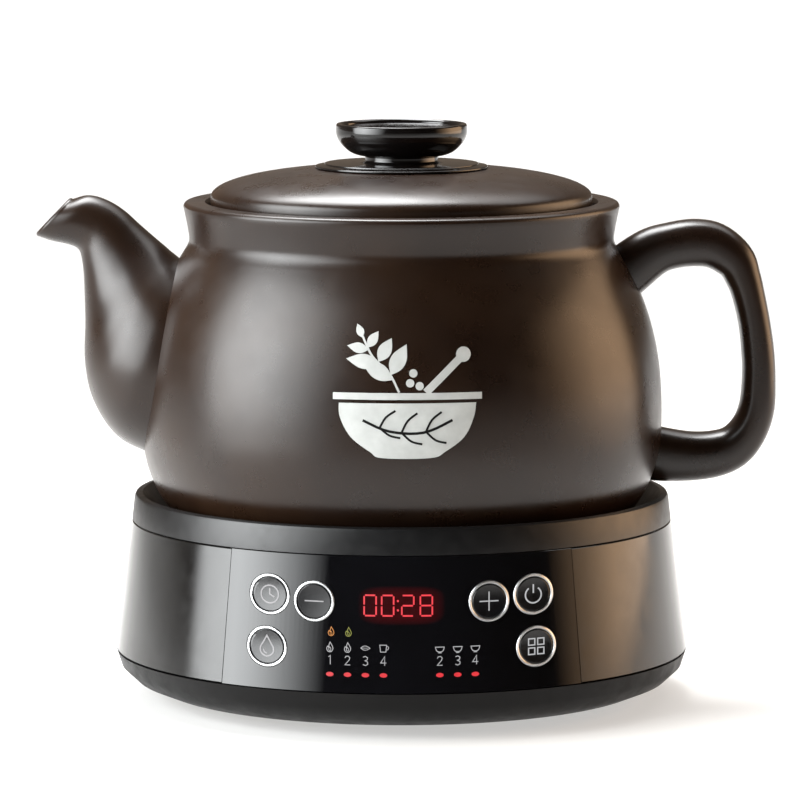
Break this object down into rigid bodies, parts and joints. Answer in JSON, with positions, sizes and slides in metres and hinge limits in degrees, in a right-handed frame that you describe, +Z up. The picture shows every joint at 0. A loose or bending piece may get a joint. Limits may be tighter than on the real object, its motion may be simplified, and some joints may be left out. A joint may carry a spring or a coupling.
{
  "type": "electric herbal decoction pot",
  "caption": "Stoneware decoction kettle with curved spout, loop handle and loose lid, on a round electric heating base with buttons and a digit display.",
  "frame": {"origin": "on the kettle's axis at the table, under the rubber feet", "axes": "+Z up; the handle points to +X, the spout to -X and the control panel faces -Y"},
  "size_m": [0.3171, 0.2456, 0.246],
  "materials": {
    "stoneware": "satin dark brown glazed stoneware, opaque",
    "glazed_black": "glossy black glazed ceramic, opaque",
    "gloss_black_plastic": "glossy black moulded housing",
    "satin_grey_plastic": "satin dark grey moulded plastic",
    "black_plastic": "satin black moulded plastic",
    "smoked_acrylic": "glossy smoked acrylic",
    "bright_chrome": "bright chrome plating",
    "button_plastic": "dark grey smooth plastic",
    "clear_plastic": "clear moulded light guide",
    "white_plastic": "white moulded plastic",
    "aluminium": "cast and machined aluminium",
    "steel": "plain steel",
    "brass": "plain brass",
    "silicone": "grey silicone",
    "rubber": "black rubber",
    "green_board": "green circuit board",
    "laminated_core": "varnished laminated core",
    "relay_blue": "blue relay case",
    "capacitor_sleeve": "shrink sleeve"
  },
  "bodies": {
    "base": {"bottom_chassis": "black_plastic", "base_shell": "gloss_black_plastic", "top_ring": "satin_grey_plastic", "control_panel": "smoked_acrylic", "button_ring_preset": "bright_chrome", "button_ring_minus": "bright_chrome", "button_ring_plus": "bright_chrome", "button_ring_start": "bright_chrome", "button_ring_water": "bright_chrome", "button_ring_function": "bright_chrome", "control_board": "green_board", "light_box": "white_plastic", "led_display": "black_plastic", "program_light_guide": "clear_plastic", "volume_light_guide": "clear_plastic", "power_board": "green_board", "transformer": "laminated_core", "relay": "relay_blue", "capacitor": "capacitor_sleeve", "heating_plate": "aluminium", "plate_seal": "silicone", "heater_tube": "steel", "heat_shield": "steel", "plate_screw_1": "steel", "plate_screw_2": "steel", "plate_screw_3": "steel", "thermostat": "aluminium", "thermal_fuse": "white_plastic", "sensor_bracket": "white_plastic", "power_inlet": "black_plastic", "inlet_pin_live": "brass", "inlet_pin_neutral": "brass", "inlet_pin_earth": "brass", "rubber_foot_1": "rubber", "rubber_foot_2": "rubber", "rubber_foot_3": "rubber", "rubber_foot_4": "rubber", "base_screw_1": "steel", "base_screw_2": "steel", "base_screw_3": "steel", "base_screw_4": "steel"},
    "pot": {"ceramic_pot": "stoneware", "pot_spout": "stoneware", "pot_handle": "stoneware"},
    "lid": {"lid": "stoneware", "lid_knob": "glazed_black", "knob_gasket": "silicone", "knob_washer": "steel", "knob_screw": "steel"},
    "sensor": {"sensor_cap": "aluminium", "sensor_spring": "steel"},
    "preset_button": {"button_preset": "button_plastic"},
    "minus_button": {"button_minus": "button_plastic"},
    "plus_button": {"button_plus": "button_plastic"},
    "start_button": {"button_start": "button_plastic"},
    "water_button": {"button_water": "button_plastic"},
    "function_button": {"button_function": "button_plastic"}
  },
  "joints": [
    {"name": "pot_lift", "type": "slide", "parent": "base", "child": "pot", "axis": [0, 0, 1], "range_m": [0, 0.2]},
    {"name": "lid_lift", "type": "slide", "parent": "pot", "child": "lid", "axis": [0, 0, 1], "range_m": [0, 0.12]},
    {"name": "sensor_rise", "type": "slide", "parent": "base", "child": "sensor", "axis": [0, 0, 1], "range_m": [0, 0.002], "deforming": ["sensor_spring"]},
    {"name": "preset_press", "type": "slide", "parent": "base", "child": "preset_button", "axis": [0, 1, 0], "range_m": [0, 0.001], "stiffness_N_per_m": 500},
    {"name": "minus_press", "type": "slide", "parent": "base", "child": "minus_button", "axis": [0, 1, 0], "range_m": [0, 0.001], "stiffness_N_per_m": 500},
    {"name": "plus_press", "type": "slide", "parent": "base", "child": "plus_button", "axis": [0, 1, 0], "range_m": [0, 0.001], "stiffness_N_per_m": 500},
    {"name": "start_press", "type": "slide", "parent": "base", "child": "start_button", "axis": [0, 1, 0], "range_m": [0, 0.001], "stiffness_N_per_m": 500},
    {"name": "water_press", "type": "slide", "parent": "base", "child": "water_button", "axis": [0, 1, 0], "range_m": [0, 0.001], "stiffness_N_per_m": 500},
    {"name": "function_press", "type": "slide", "parent": "base", "child": "function_button", "axis": [0, 1, 0], "range_m": [0, 0.001], "stiffness_N_per_m": 500}
  ],
  "couplings": [
    {"joint": "sensor_rise", "follows": "pot_lift", "ratio": 0.01}
  ]
}
